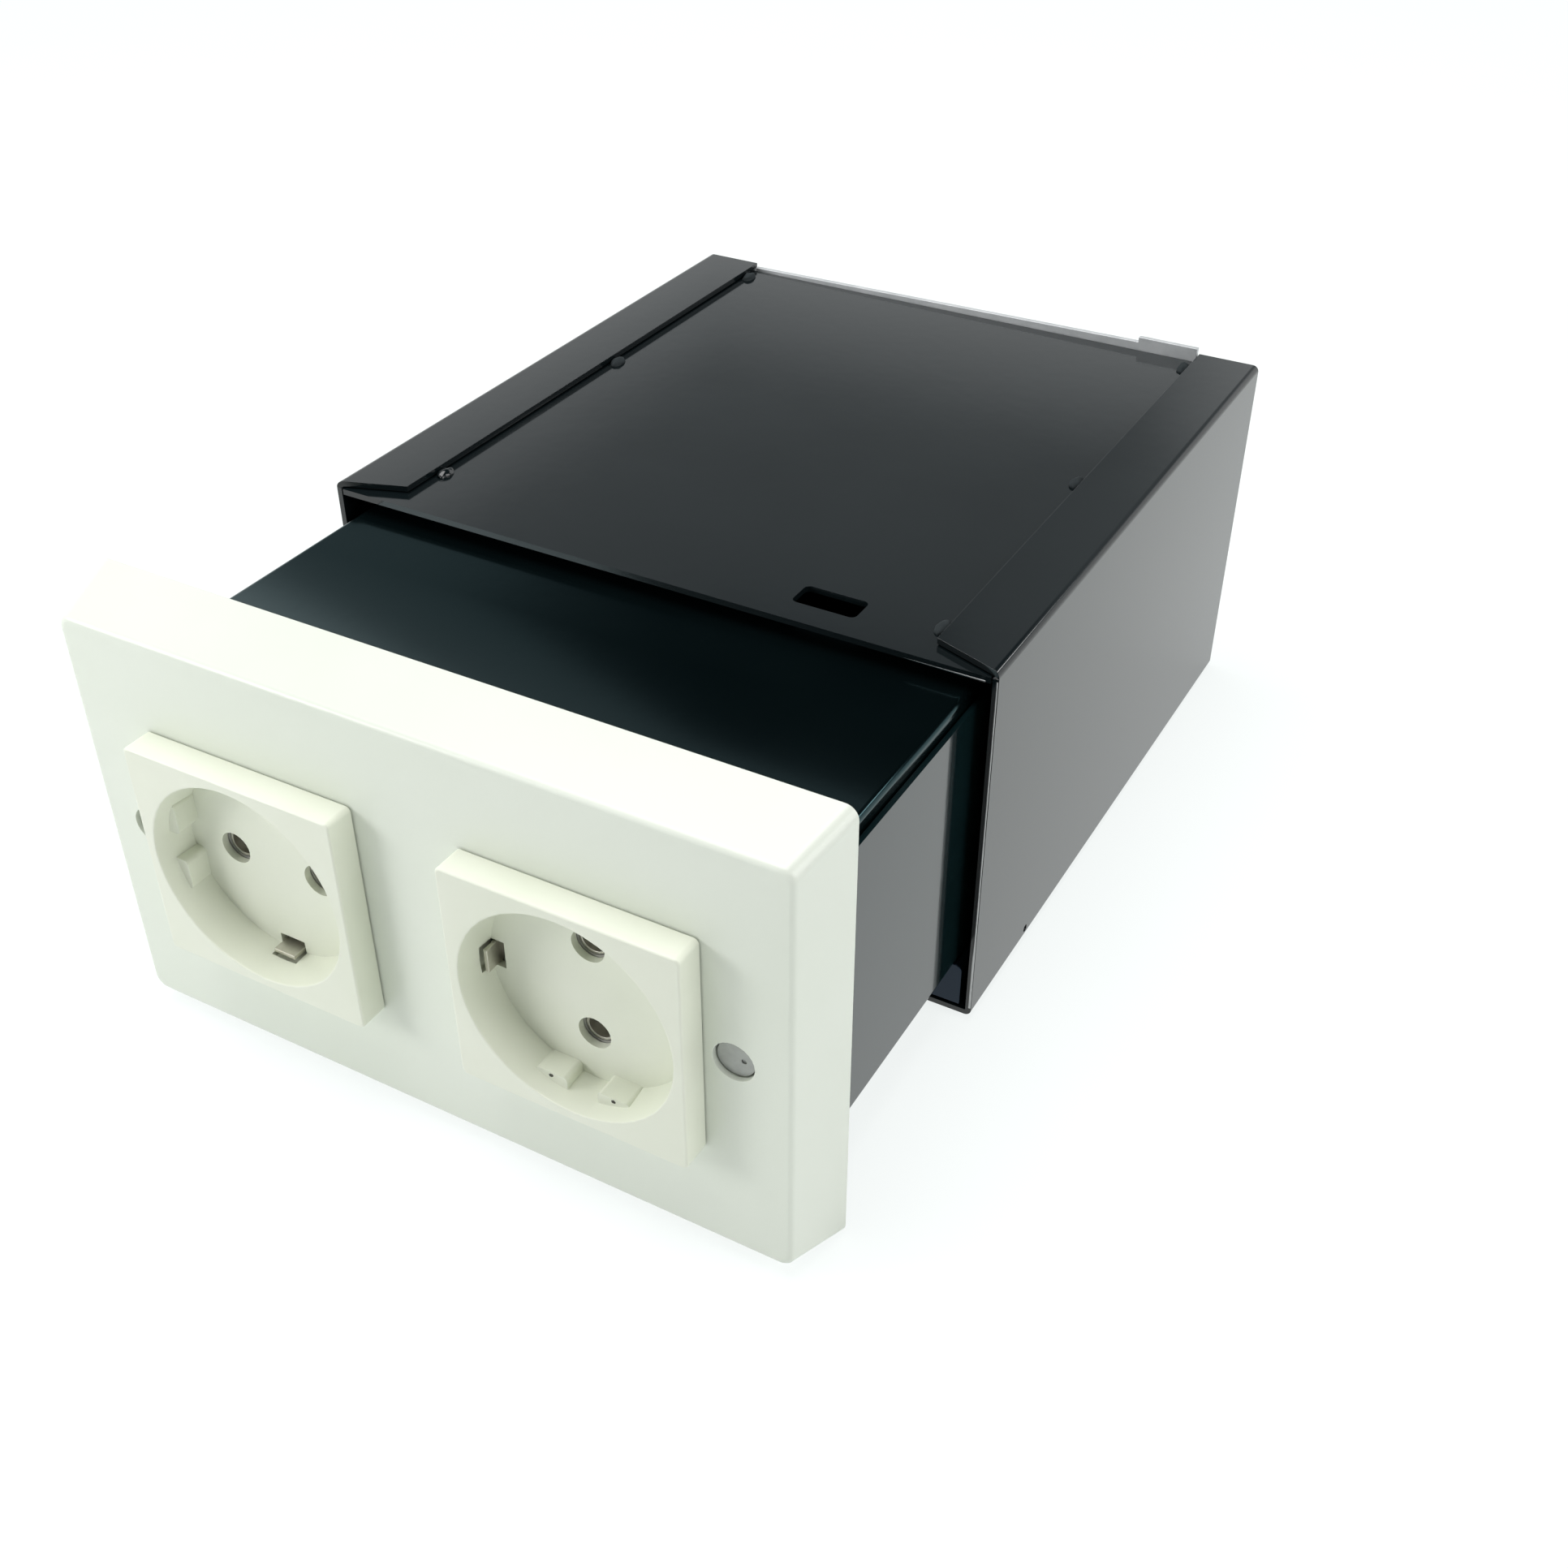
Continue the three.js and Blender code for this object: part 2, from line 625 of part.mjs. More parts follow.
// The top plate lies under the flanges and has the lock's slot; beads of weld stand beside the flanges
function sleeveTopPlate() {
  const half = sleeveInside - seam;
  const y = [mouthY, rearWallFront - seam];
  let plate = box(around(0, half), y, [topPlateLow, topPlateTop]);
  const slotX = lockX - ((topPlateTop + topPlateLow) / 2 - lockZ) / Math.tan(camRaised);
  const slotY = mouthY + camBehindRim + camThickness / 2 - seam;
  const slot = roundedOutline(around(slotX, slotWidth / 2), around(slotY, slotLength / 2), slotRound);
  plate = cut(plate, alongZ(slot, around(topPlateTop, overrun)));
  const beadX = sleeveWidth / 2 - flangeWidth - seam - weldWidth / 2;
  for (const [x, shares] of [[-beadX, leftWeldShares], [beadX, rightWeldShares]]) {
    for (const share of shares) {
      plate = join(plate, weldBead(x, mouthY + share * sleeveDepth));
    }
  }
  return plate;
}

// The rear wall rises a little past the top plate, with a tab there, and has four holes for wall screws
function sleeveRearWall() {
  const half = sleeveInside - seam;
  const y = [rearWallFront, sleeveBackY];
  const end = sleeveWidth / 2 - flangeWidth - seam;
  const edge = polygon([
    [-end, topPlateTop - seam],
    [end, topPlateTop - seam],
    [end, topPlateTop + rearRiseRight],
    [-end, topPlateTop + rearRiseLeft],
  ]);
  const tab = box([end - tabWidth, end], y, [topPlateTop - seam, topPlateTop + tabHeight]);
  let wall = join(box(around(0, half), y, [sleeveFloor + seam, topPlateTop]), alongY(edge, y), tab);
  const holeX = sleeveWidth / 2 - rearHoleInsetX;
  const through = [rearWallFront - overrun, sleeveBackY + overrun];
  for (const x of [-holeX, holeX]) {
    for (const z of [sleeveLift + rearHoleInsetZ, sleeveTop - rearHoleInsetZ]) {
      wall = cut(wall, rod(x, z, rearHoleRadius, through));
    }
  }
  return wall;
}

// An angle near the foot of the right wall, closed at the front, whose ledge carries the drawer
function runner() {
  const outer = sleeveInside - runnerGap;
  const top = drawerLow - seam;
  const low = sleeveFloor + seam;
  const inner = outer - ledgeWidth;
  const y = [mouthY + runnerSetback, rearWallFront - runnerRearGap];
  const across = [inner - overrun, outer];
  const up = [low - overrun, top];
  const tube = sheetTube(across, up, runnerSheet, runnerBend, y);
  const end = alongY(roundedOutline(across, up, runnerBend), [y[0], y[0] + runnerSheet]);
  const cutY = [y[0] - overrun, y[1] + overrun];
  const inside = box([inner - 2 * overrun, inner], cutY, [low - 2 * overrun, top + overrun]);
  const below = box([inner - 2 * overrun, outer + overrun], cutY, [low - 2 * overrun, low]);
  return cut(join(tube, end), inside, below);
}

// Assembly
const safe = new THREE.Group();

const sleeve = new THREE.Group();
sleeve.add(piece("sleeve_shell", sleeveShell(), blackCoat()));
sleeve.add(piece("sleeve_top_plate", sleeveTopPlate(), blackCoat()));
sleeve.add(piece("sleeve_rear_wall", sleeveRearWall(), zincSteel()));
const runnerRight = piece("runner_right", runner(), blackCoat());
const runnerLeft = piece("runner_left", runner(), blackCoat());
runnerLeft.scale.x = -1;
sleeve.add(runnerRight, runnerLeft);
safe.add(sleeve);

// The drawer's group stands at the middle of the plate's face
const drawer = new THREE.Group();
drawer.position.set(0, plateFaceY, centreZ);
drawer.add(piece("face_plate", facePlate(), whiteMoulding()));
drawer.add(piece("mounting_plate", mountingPlate(), zincSteel()));
drawer.add(piece("drawer_tray", drawerTray(), blackCoat()));
drawer.add(piece("drawer_deck", drawerDeck(), blackCoat()));
safe.add(drawer);

// The right insert is turned a quarter turn from the left one
for (const [side, name, turn] of [[-1, "left", 0], [1, "right", quarterTurn]]) {
  const place = new THREE.Vector3((side * insertSpacing) / 2, 0, insertRise);
  const frame = piece(`insert_frame_${name}`, insertFrame(), zincSteel());
  frame.position.copy(place);
  const insert = new THREE.Group();
  insert.position.copy(place);
  insert.rotation.y = turn;
  insert.add(piece(`socket_cover_${name}`, socketCover(), whiteMoulding()));
  insert.add(piece(`socket_base_${name}`, socketBase(), greyThermoset()));
  insert.add(piece(`earth_strap_${name}`, earthStrap(), brass()));
  [-1, 1].forEach((pin, index) => {
    const tube = piece(`contact_tube_${name}_${index + 1}`, contactTube(), brass());
    tube.position.x = (pin * pinSpacing) / 2;
    insert.add(tube);
  });
  drawer.add(frame, insert);
}

const corners = [[-1, 1], [1, 1], [1, -1], [-1, -1]];
corners.forEach(([x, z], index) => {
  const screw = piece(`plate_screw_${index + 1}`, plateScrew(), zincSteel());
  screw.position.set(x * screwX, 0, z * screwZ);
  const fastener = piece(`rivet_${index + 1}`, rivet(), greyMetal());
  fastener.position.set(x * rivetX, 0, z > 0 ? rivetHigh : rivetLow);
  drawer.add(screw, fastener);
});

const pin = piece("blank_pin", blankPin(), greyMetal());
pin.position.set(-lockX, 0, sideHoleRise);
drawer.add(pin);

const lock = new THREE.Group();
lock.position.set(lockX, 0, sideHoleRise);
lock.add(piece("lock_bushing", lockBushing(), zincSteel()));
lock.add(piece("lock_plug", lockPlug(), greyMetal()));
lock.add(piece("lock_cam", lockCam(), zincSteel()));
lock.add(piece("cam_screw", camScrew(), zincSteel()));
drawer.add(lock);

export default safe;
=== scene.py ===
# %% [markdown]
# # A safe that looks like a double wall socket
#
# The real object is a steel sleeve that is plastered into a wall, and a steel drawer that slides
# in it behind a white plastic plate with two false socket inserts. The construction is already
# packed as a fixed frame, in metres, with Z up and the plate facing -Y. This lesson loads that
# frame, gives each piece the finish of the real one, and adds the small things that the frame
# leaves out: lumpy tacks of weld, painted highlights along two edges, dark specks and rounded
# edges.

# %% Load the frame
import math

import bmesh
import bpy
from mathutils import Matrix, Vector, noise


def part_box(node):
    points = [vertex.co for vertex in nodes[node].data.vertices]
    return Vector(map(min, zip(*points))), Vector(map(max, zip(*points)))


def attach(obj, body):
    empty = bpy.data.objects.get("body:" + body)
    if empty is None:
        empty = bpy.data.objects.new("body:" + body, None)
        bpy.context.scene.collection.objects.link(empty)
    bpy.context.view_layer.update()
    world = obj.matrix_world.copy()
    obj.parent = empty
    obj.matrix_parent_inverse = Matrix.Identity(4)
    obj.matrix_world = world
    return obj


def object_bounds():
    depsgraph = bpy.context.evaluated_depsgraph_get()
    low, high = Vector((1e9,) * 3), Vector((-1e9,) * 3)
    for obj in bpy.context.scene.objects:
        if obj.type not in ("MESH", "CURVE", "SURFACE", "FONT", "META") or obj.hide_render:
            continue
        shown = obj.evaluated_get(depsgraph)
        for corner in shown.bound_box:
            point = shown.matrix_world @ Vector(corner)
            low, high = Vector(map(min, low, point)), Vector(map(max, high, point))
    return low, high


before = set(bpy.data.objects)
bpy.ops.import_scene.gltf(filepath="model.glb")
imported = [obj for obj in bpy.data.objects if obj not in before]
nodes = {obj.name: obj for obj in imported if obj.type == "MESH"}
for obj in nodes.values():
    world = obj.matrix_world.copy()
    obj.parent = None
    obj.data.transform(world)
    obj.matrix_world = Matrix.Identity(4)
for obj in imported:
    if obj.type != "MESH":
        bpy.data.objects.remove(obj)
cad_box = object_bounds()
print("pieces in the frame:", len(nodes))

# %% [markdown]
# Sizes are easier to read in millimetres, and Blender works in metres here. One constant turns
# one into the other, and a second helper turns the size of a pattern's grain into the scale
# that a texture node wants: how many grains fit in a metre.

# %% Millimetres
MM = 0.001


def scale_for(grain_mm):
    """The texture scale at which one grain of the pattern is that many millimetres wide."""
    return 1 / (grain_mm * MM)


low, high = cad_box
print("the object measures, in mm:", [round((b - a) / MM, 1) for a, b in zip(low, high)])

# %% [markdown]
# Colours are picked as sRGB hex values, as a paint chart or a photo editor gives them. Shaders
# work with linear light, so one function turns each hex value into linear numbers.


# %% Colours
def colour(hex_value):
    """A linear colour from an sRGB hex value such as #EDEFE6."""
    parts = [int(hex_value[i : i + 2], 16) / 255 for i in (1, 3, 5)]
    linear = [c / 12.92 if c <= 0.04045 else ((c + 0.055) / 1.055) ** 2.4 for c in parts]
    return (*linear, 1.0)


print("a middle grey in linear light:", round(colour("#808080")[0], 3))

# %% [markdown]
# Every finish here is a small tree of nodes. One function adds a node, sets its options, and
# fills its inputs: with a link if it is given a socket, with a value if it is given a number.
# The others build on it, for sums, colour ramps and the start of a material.


# %% Nodes
def add_node(tree, kind, settings=None, inputs=None):
    """Adds a node. Settings are its options; inputs are values, or sockets to link from."""
    node = tree.nodes.new(kind)
    for option, value in (settings or {}).items():
        setattr(node, option, value)
    for name, value in (inputs or {}).items():
        if isinstance(value, bpy.types.NodeSocket):
            tree.links.new(value, node.inputs[name])
        else:
            node.inputs[name].default_value = value
    return node


def sum_node(tree, operation, first, second):
    """The output of a Math node: its operation on two values or sockets."""
    return add_node(
        tree, "ShaderNodeMath", {"operation": operation}, {0: first, 1: second}
    ).outputs[0]


def set_stops(ramp, stops):
    """Gives a colour ramp its stops: pairs of position and hex value."""
    points = ramp.color_ramp.elements
    while len(points) > 1:
        points.remove(points[-1])
    for index, (position, hex_value) in enumerate(stops):
        point = points[0] if index == 0 else points.new(position)
        point.position = position
        point.color = colour(hex_value)


def new_material(name):
    """An empty material with its output node, and the coordinates of the piece itself."""
    made = bpy.data.materials.new(name)
    made.use_nodes = True
    tree = made.node_tree
    tree.nodes.clear()
    output = add_node(tree, "ShaderNodeOutputMaterial")
    place = add_node(tree, "ShaderNodeTexCoord").outputs["Object"]
    return made, tree, output, place


print("node helpers ready")

# %% [markdown]
# No real surface is even. On nearly every finish here the colour and the gloss wander over a
# soft noise, and a finer noise bends the light as a shallow relief does. Each of these is one
# node, so a small function for each lets a finish be read as a list: this tint, that gloss,
# that relief. The noise uses the coordinates of the piece itself, and so moves with it.


# %% Noise, tint, gloss and relief
def noise_over(tree, place, grain_mm, detail=2.0):
    """A soft noise from 0 to 1, whose grains are that many millimetres wide."""
    return add_node(
        tree,
        "ShaderNodeTexNoise",
        inputs={"Vector": place, "Scale": scale_for(grain_mm), "Detail": detail},
    ).outputs["Fac"]


def tint_by(tree, amount, dark, light, ends=(0.3, 0.7)):
    """A colour that goes from one hex value to another between two amounts of noise."""
    ramp = add_node(tree, "ShaderNodeValToRGB", inputs={"Fac": amount})
    set_stops(ramp, zip(ends, (dark, light)))
    return ramp.outputs["Color"]


def gloss_by(tree, amount, smooth, rough):
    """A roughness that goes from one value to another with the noise."""
    return add_node(
        tree, "ShaderNodeMapRange", inputs={"Value": amount, "To Min": smooth, "To Max": rough}
    ).outputs["Result"]


def relief_by(tree, amount, strength, depth_mm, under=None):
    """A normal that bends with the noise, over another normal if one is given."""
    bump = add_node(
        tree,
        "ShaderNodeBump",
        inputs={"Height": amount, "Strength": strength, "Distance": depth_mm * MM},
    )
    if under is not None:
        tree.links.new(under, bump.inputs["Normal"])
    return bump.outputs["Normal"]


def add_surface(tree, output, inputs):
    """A Principled surface with those inputs, linked to the material's output."""
    surface = add_node(tree, "ShaderNodeBsdfPrincipled", inputs=inputs)
    tree.links.new(surface.outputs["BSDF"], output.inputs["Surface"])


print("surface helpers ready")

# %% [markdown]
# ## The camera
#
# The photo was taken from above, to the right of the plate, with a long lens. The camera's
# place and turn were solved from the corners of the plate, the inserts and the sleeve, so the
# render can be laid over the photo. A roll of a fraction of a degree is kept from that fit.

# %% Camera
CAMERA_PLACE = Vector((165.0, -277.0, 249.0)) * MM
CAMERA_AZIMUTH = math.radians(28.97)
CAMERA_DOWN = math.radians(36.46)
CAMERA_ROLL = math.radians(0.16)
CAMERA_LENS = 41.72  # mm, on a sensor 36 mm wide

camera_data = bpy.data.cameras.new("photo_camera")
camera_data.lens = CAMERA_LENS
camera_data.sensor_width = 36
camera_data.clip_start = 0.01
camera_data.clip_end = 20
camera = bpy.data.objects.new("photo_camera", camera_data)
bpy.context.scene.collection.objects.link(camera)
turn = Matrix.Rotation(CAMERA_AZIMUTH, 4, "Z")
tilt = Matrix.Rotation(math.pi / 2 - CAMERA_DOWN, 4, "X")
roll = Matrix.Rotation(CAMERA_ROLL, 4, "Z")
camera.matrix_world = Matrix.Translation(CAMERA_PLACE) @ turn @ tilt @ roll
bpy.context.scene.camera = camera
print("camera", [round(v, 3) for v in camera.location], "lens", camera_data.lens)

# %% [markdown]
# ## The studio
#
# A pale table stands under everything. The plate's lower rim hangs a little lower than the
# sleeve's floor, so the safe leans on the rim and on the sleeve's rear edge. The table is
# tilted by the same small angle, and so touches both.

# %% Table
rim_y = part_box("face_plate")[1].y
sleeve_low, sleeve_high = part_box("sleeve_shell")
lean = math.atan2(sleeve_low.z, sleeve_high.y - rim_y)
TABLE_REACH = 6.0  # metres

bpy.ops.mesh.primitive_grid_add(x_subdivisions=8, y_subdivisions=8, size=2 * TABLE_REACH)
table = bpy.context.active_object
table.name = "table"
table.matrix_world = Matrix.Translation((0, rim_y, 0)) @ Matrix.Rotation(lean, 4, "X")
print("the table leans by", round(math.degrees(lean), 2), "degrees")

# %% [markdown]
# The table is matt white card. A product photo is exposed until such a card is full white, and
# its shadows nearly vanish. More light would burn out the plate, so the card glows a little
# instead, for the camera and for what the gloss mirrors, and keeps part of its shadows.

# %% Table finish
card, tree, output, place = new_material("white_card")
fibre = noise_over(tree, place, 60)
surface = add_node(
    tree,
    "ShaderNodeBsdfPrincipled",
    inputs={
        "Base Color": tint_by(tree, fibre, "#E6EAE9", "#E9EBEA"),
        "Roughness": 0.9,
        "Specular IOR Level": 0.1,
    },
)
CARD_GLOW_SHARE = 0.72  # how much of the card's look is glow
CARD_GLOW = 1.18  # a strength of 1 is white
rays = add_node(tree, "ShaderNodeLightPath").outputs
seen = rays["Is Camera Ray"]
for kind in ("Is Glossy Ray", "Is Transmission Ray"):
    seen = sum_node(tree, "MAXIMUM", seen, rays[kind])
share = sum_node(tree, "MULTIPLY", seen, CARD_GLOW_SHARE)
shine = add_node(
    tree, "ShaderNodeEmission", inputs={"Color": colour("#FAFEFD"), "Strength": CARD_GLOW}
)
mixed = add_node(
    tree,
    "ShaderNodeMixShader",
    inputs={0: share, 1: surface.outputs["BSDF"], 2: shine.outputs["Emission"]},
)
tree.links.new(mixed.outputs["Shader"], output.inputs["Surface"])
card.cycles.emission_sampling = "NONE"  # the glow is only seen, so it isn't sampled as a lamp
table.data.materials.append(card)
print("table finish", card.name)

# %% [markdown]
# Glossy black paint shows the room rather than its own colour. The top of the sleeve mirrors
# the far wall towards its rear edge and the left wall along its left flange, both pale low down
# and dark higher up. The edges of those pale parts run straight across the sleeve, so the room
# has two flat walls: a direction's height is divided by how far it goes towards the nearer one,
# and the left wall stands nearer. The ceiling and the camera's side of the room are dark, and
# lamps do most of the lighting.

# %% Room
world = bpy.data.worlds.new("room")
bpy.context.scene.world = world
world.use_nodes = True
tree = world.node_tree
tree.nodes.clear()
direction = add_node(tree, "ShaderNodeTexCoord").outputs["Generated"]
SIDE_WALL_NEARNESS = 1.65  # how much nearer the left wall is than the far one
LEAST_REACH = 0.05  # for directions away from both walls
along = add_node(tree, "ShaderNodeSeparateXYZ", inputs={"Vector": direction}).outputs
left = sum_node(tree, "MULTIPLY", along["X"], -SIDE_WALL_NEARNESS)
nearer = sum_node(tree, "MAXIMUM", left, along["Y"])
reach = sum_node(tree, "MAXIMUM", nearer, LEAST_REACH)
height = sum_node(tree, "DIVIDE", along["Z"], reach)
wall = add_node(tree, "ShaderNodeValToRGB", inputs={"Fac": height})
set_stops(
    wall,
    [
        (0.0, "#FFFFFF"),
        (0.38, "#FDFFFF"),
        (0.435, "#DFE3E4"),
        (0.48, "#B8BCBE"),
        (0.505, "#909597"),
        (0.69, "#909597"),
        (0.745, "#33383C"),
        (0.85, "#1A1D20"),
        (1.0, "#141719"),
    ],
)
glow = add_node(
    tree, "ShaderNodeBackground", inputs={"Color": wall.outputs["Color"], "Strength": 1.0}
)
add_node(tree, "ShaderNodeOutputWorld", inputs={"Surface": glow.outputs["Background"]})
print("room", world.name)


# %% [markdown]
# Four soft boxes light the object: a wide one overhead and a little to the left, a small one in
# front on the left, close enough to leave the plate's left end brighter than its right and a
# soft shadow at the right of each insert, one on the right for the plate's end, and a small one
# at the right rear, which draws a fine light along the edges of the steel.


# %% Lamps
LAMPS = (  # name, place and size in metres, power in watts
    ("overhead", (-0.2, -0.1, 1.5), 1.1, 19),
    ("front_left", (-0.3, -0.36, 0.22), 0.16, 0.62),
    ("right", (1.2, -0.1, 0.6), 0.8, 7),
    ("right_rear", (0.75, 1.25, 0.95), 0.25, 1.0),
)


def soft_box(name, place, aim, size, watts):
    """A square lamp of that size in metres, at a place and aimed at another."""
    data = bpy.data.lights.new(name, "AREA")
    data.shape = "SQUARE"
    data.size = size
    data.energy = watts
    lamp = bpy.data.objects.new(name, data)
    bpy.context.scene.collection.objects.link(lamp)
    lamp.location = place
    lamp.rotation_euler = (Vector(aim) - Vector(place)).to_track_quat("-Z", "Y").to_euler()


middle = (cad_box[0] + cad_box[1]) / 2
for name, place, size, watts in LAMPS:
    soft_box(name, place, middle, size, watts)
bpy.context.scene.view_settings.view_transform = "Standard"

# %% [markdown]
# ## Plate: glossy ABS, injection moulded
#
# The false plate is ABS, as most switch plates are: an off-white plastic, moulded against a
# polished steel tool. It is smooth but never a mirror: the skin has a faint orange peel of
# about 1.5 mm, and handling leaves slightly duller patches. IOR 1.53 is typical for ABS.

# %% White moulding
abs_white, tree, output, place = new_material("glossy_moulded_abs")
patches = noise_over(tree, place, 45, detail=3.0)
peel = noise_over(tree, place, 1.5)
add_surface(
    tree,
    output,
    {
        "Base Color": tint_by(tree, patches, "#E6ECDF", "#EAEFE4"),
        "Roughness": gloss_by(tree, patches, 0.285, 0.36),
        "IOR": 1.53,
        "Normal": relief_by(tree, peel, strength=0.25, depth_mm=0.02),
    },
)
print("finish", abs_white.name)

# %% [markdown]
# ## Inserts: thermoset, compression moulded
#
# Real socket inserts are pressed from a urea thermoset, a harder and slightly creamier white
# than the plate. Its skin is a little less glossy, with a finer grain, because filler lies
# close under the surface. IOR 1.56.

# %% Cream moulding
urea_white, tree, output, place = new_material("pressed_urea_thermoset")
filler = noise_over(tree, place, 20, detail=4.0)
grain = noise_over(tree, place, 0.8)
add_surface(
    tree,
    output,
    {
        "Base Color": tint_by(tree, filler, "#E8ECDB", "#ECEFE0"),
        "Roughness": gloss_by(tree, filler, 0.32, 0.42),
        "IOR": 1.56,
        "Normal": relief_by(tree, grain, strength=0.3, depth_mm=0.012),
    },
)
print("finish", urea_white.name)

# %% [markdown]
# ## Sleeve, drawer and runners: stoved enamel on sheet steel
#
# The steel is folded, welded and then sprayed with a black enamel that is baked hard. It is
# almost black by itself, with a trace of blue-green. What the eye sees is its gloss: the side
# of the sleeve and that of the drawer mirror the pale table at a low angle and turn grey, and
# the top mirrors the room. The spray leaves an orange peel of about 3 mm.
#
# Thin sheet isn't flat either. The deck rises a little towards the sleeve's mouth, so its gloss
# turns from the pale wall to the dark ceiling. The right flange was pulled up along its inner
# edge by the welds. Both are slight, so only the normal leans here: along one axis, by a slope
# that changes over a span of that axis.
#
# The deck has a blue-green sheen of its own, and the runners a blue one. The tacks of weld are
# covered in spatter, which is pitted, and keeps little of the gloss.


# %% Black enamel
def leaning_normal(tree, place, axis, start, span, slopes):
    """The surface's normal, leaning along an axis from its start, by a slope that changes."""
    along = add_node(tree, "ShaderNodeSeparateXYZ", inputs={"Vector": place}).outputs[axis]
    slope = add_node(
        tree,
        "ShaderNodeMapRange",
        inputs={
            "Value": along,
            "From Min": span[0],
            "From Max": span[1],
            "To Min": slopes[0],
            "To Max": slopes[1],
        },
    )
    within = sum_node(tree, "GREATER_THAN", along, start)
    push = sum_node(tree, "MULTIPLY", slope.outputs[0], within)
    lean = add_node(tree, "ShaderNodeCombineXYZ", inputs={axis: push})
    straight = add_node(tree, "ShaderNodeNewGeometry").outputs["Normal"]
    both = add_node(
        tree, "ShaderNodeVectorMath", {"operation": "ADD"}, {0: straight, 1: lean.outputs[0]}
    )
    return add_node(
        tree, "ShaderNodeVectorMath", {"operation": "NORMALIZE"}, {0: both.outputs[0]}
    ).outputs[0]


def stoved_enamel(name, dark, light, smooth, rough, sheen="#FFFFFF", warp=None):
    """A sprayed and baked black enamel whose gloss wanders between two roughnesses."""
    made, tree, output, place = new_material(name)
    cloud = noise_over(tree, place, 35, detail=4.0)
    spray = noise_over(tree, place, 3)
    sheet = leaning_normal(tree, place, *warp) if warp else None
    add_surface(
        tree,
        output,
        {
            "Base Color": tint_by(tree, cloud, dark, light),
            "Roughness": gloss_by(tree, cloud, smooth, rough),
            "IOR": 1.55,
            "Specular Tint": colour(sheen),
            "Normal": relief_by(tree, spray, strength=0.25, depth_mm=0.02, under=sheet),
        },
    )
    return made


sleeve_enamel = stoved_enamel("stoved_gloss_enamel", "#0D1416", "#12191B", 0.08, 0.13)
drawer_enamel = stoved_enamel("stoved_high_gloss_enamel", "#0A191B", "#0F1F21", 0.06, 0.09)
FLANGE_WIDTH = 14 * MM  # at the top of each of the sleeve's walls
flange_start = sleeve_high.x - FLANGE_WIDTH
FLANGE_SLOPES = (0.05, -0.02)  # at its inner and its outer edge
flange_warp = ("X", flange_start, (flange_start, sleeve_high.x), FLANGE_SLOPES)
flanged_enamel = stoved_enamel(
    "stoved_gloss_enamel_flanged", "#0D1416", "#12191B", 0.08, 0.13, warp=flange_warp
)
DECK_BEND = (44 * MM, 22 * MM)  # from the deck's rear edge
DECK_SLOPES = (0.045, -0.12)  # in front of the bend and behind it
deck_front, deck_rear = (corner.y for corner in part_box("drawer_deck"))
deck_warp = ("Y", deck_front, [deck_rear - reach for reach in DECK_BEND], DECK_SLOPES)
deck_enamel = stoved_enamel(
    "stoved_satin_enamel", "#030809", "#050B0C", 0.12, 0.16, "#98F0FC", deck_warp
)
runner_enamel = stoved_enamel(
    "stoved_blue_black_enamel", "#0A1219", "#0E171E", 0.08, 0.13, "#92AFD2"
)
tack_enamel = stoved_enamel("stoved_enamel_on_spatter", "#2A2F31", "#343A3C", 0.75, 0.85)
SPATTER_GLOSS = 0.12  # a quarter of the usual 0.5
spatter = tack_enamel.node_tree.nodes["Principled BSDF"].inputs
spatter["Specular IOR Level"].default_value = SPATTER_GLOSS
print("enamels:", [made.name for made in bpy.data.materials if made.name.startswith("stoved")])


# %% [markdown]
# ## Metals
#
# The other metals differ only in colour, gloss and the grain that their making left: a tumbled
# and nickel-plated lock plug, zinc-plated pressings and screws, a dull galvanised rear wall, and
# tinned brass contacts. A metal keeps the default IOR, and its base colour is what it mirrors.
# One function builds them, because they share one tree.


# %% Metal finishes
def plated_metal(name, dark, light, smooth, rough, grain_mm):
    """A plated metal whose colour and gloss wander a little over grains of that size."""
    made, tree, output, place = new_material(name)
    grain = noise_over(tree, place, grain_mm, detail=5.0)
    add_surface(
        tree,
        output,
        {
            "Base Color": tint_by(tree, grain, dark, light),
            "Metallic": 1.0,
            "Roughness": gloss_by(tree, grain, smooth, rough),
            "Normal": relief_by(tree, grain, strength=0.2, depth_mm=0.02),
        },
    )
    return made


satin_nickel = plated_metal("satin_nickel_plate", "#9A9C99", "#A4A6A3", 0.42, 0.52, 1.2)
bright_zinc = plated_metal("bright_zinc_plate", "#A4A7A9", "#B9BCBE", 0.28, 0.42, 2.0)
dull_zinc = plated_metal("dull_galvanised_zinc", "#DCDFE0", "#EAECED", 0.6, 0.75, 4.0)
tinned_brass = plated_metal("tinned_brass", "#C2BFB3", "#D0CEC4", 0.35, 0.5, 1.5)
print("finishes:", satin_nickel.name, bright_zinc.name, dull_zinc.name, tinned_brass.name)

# %% [markdown]
# ## Bases: grey phenolic
#
# Behind the inserts the contacts sit in bases of a grey phenolic, a dull pressed thermoset
# with a speckle of filler about 1 mm across.

# %% Grey phenolic
phenolic, tree, output, place = new_material("pressed_grey_phenolic")
speckle = noise_over(tree, place, 1, detail=3.0)
add_surface(
    tree,
    output,
    {
        "Base Color": tint_by(tree, speckle, "#C4C4BD", "#D0D0C9", ends=(0.35, 0.65)),
        "Roughness": 0.6,
        "IOR": 1.6,
    },
)
print("finish", phenolic.name)

# %% [markdown]
# ## Dressing the frame
#
# Each piece of the frame gets the finish of the thing it stands for. The names in the frame
# tell them apart, so a short table from a part of the name to a finish is enough.

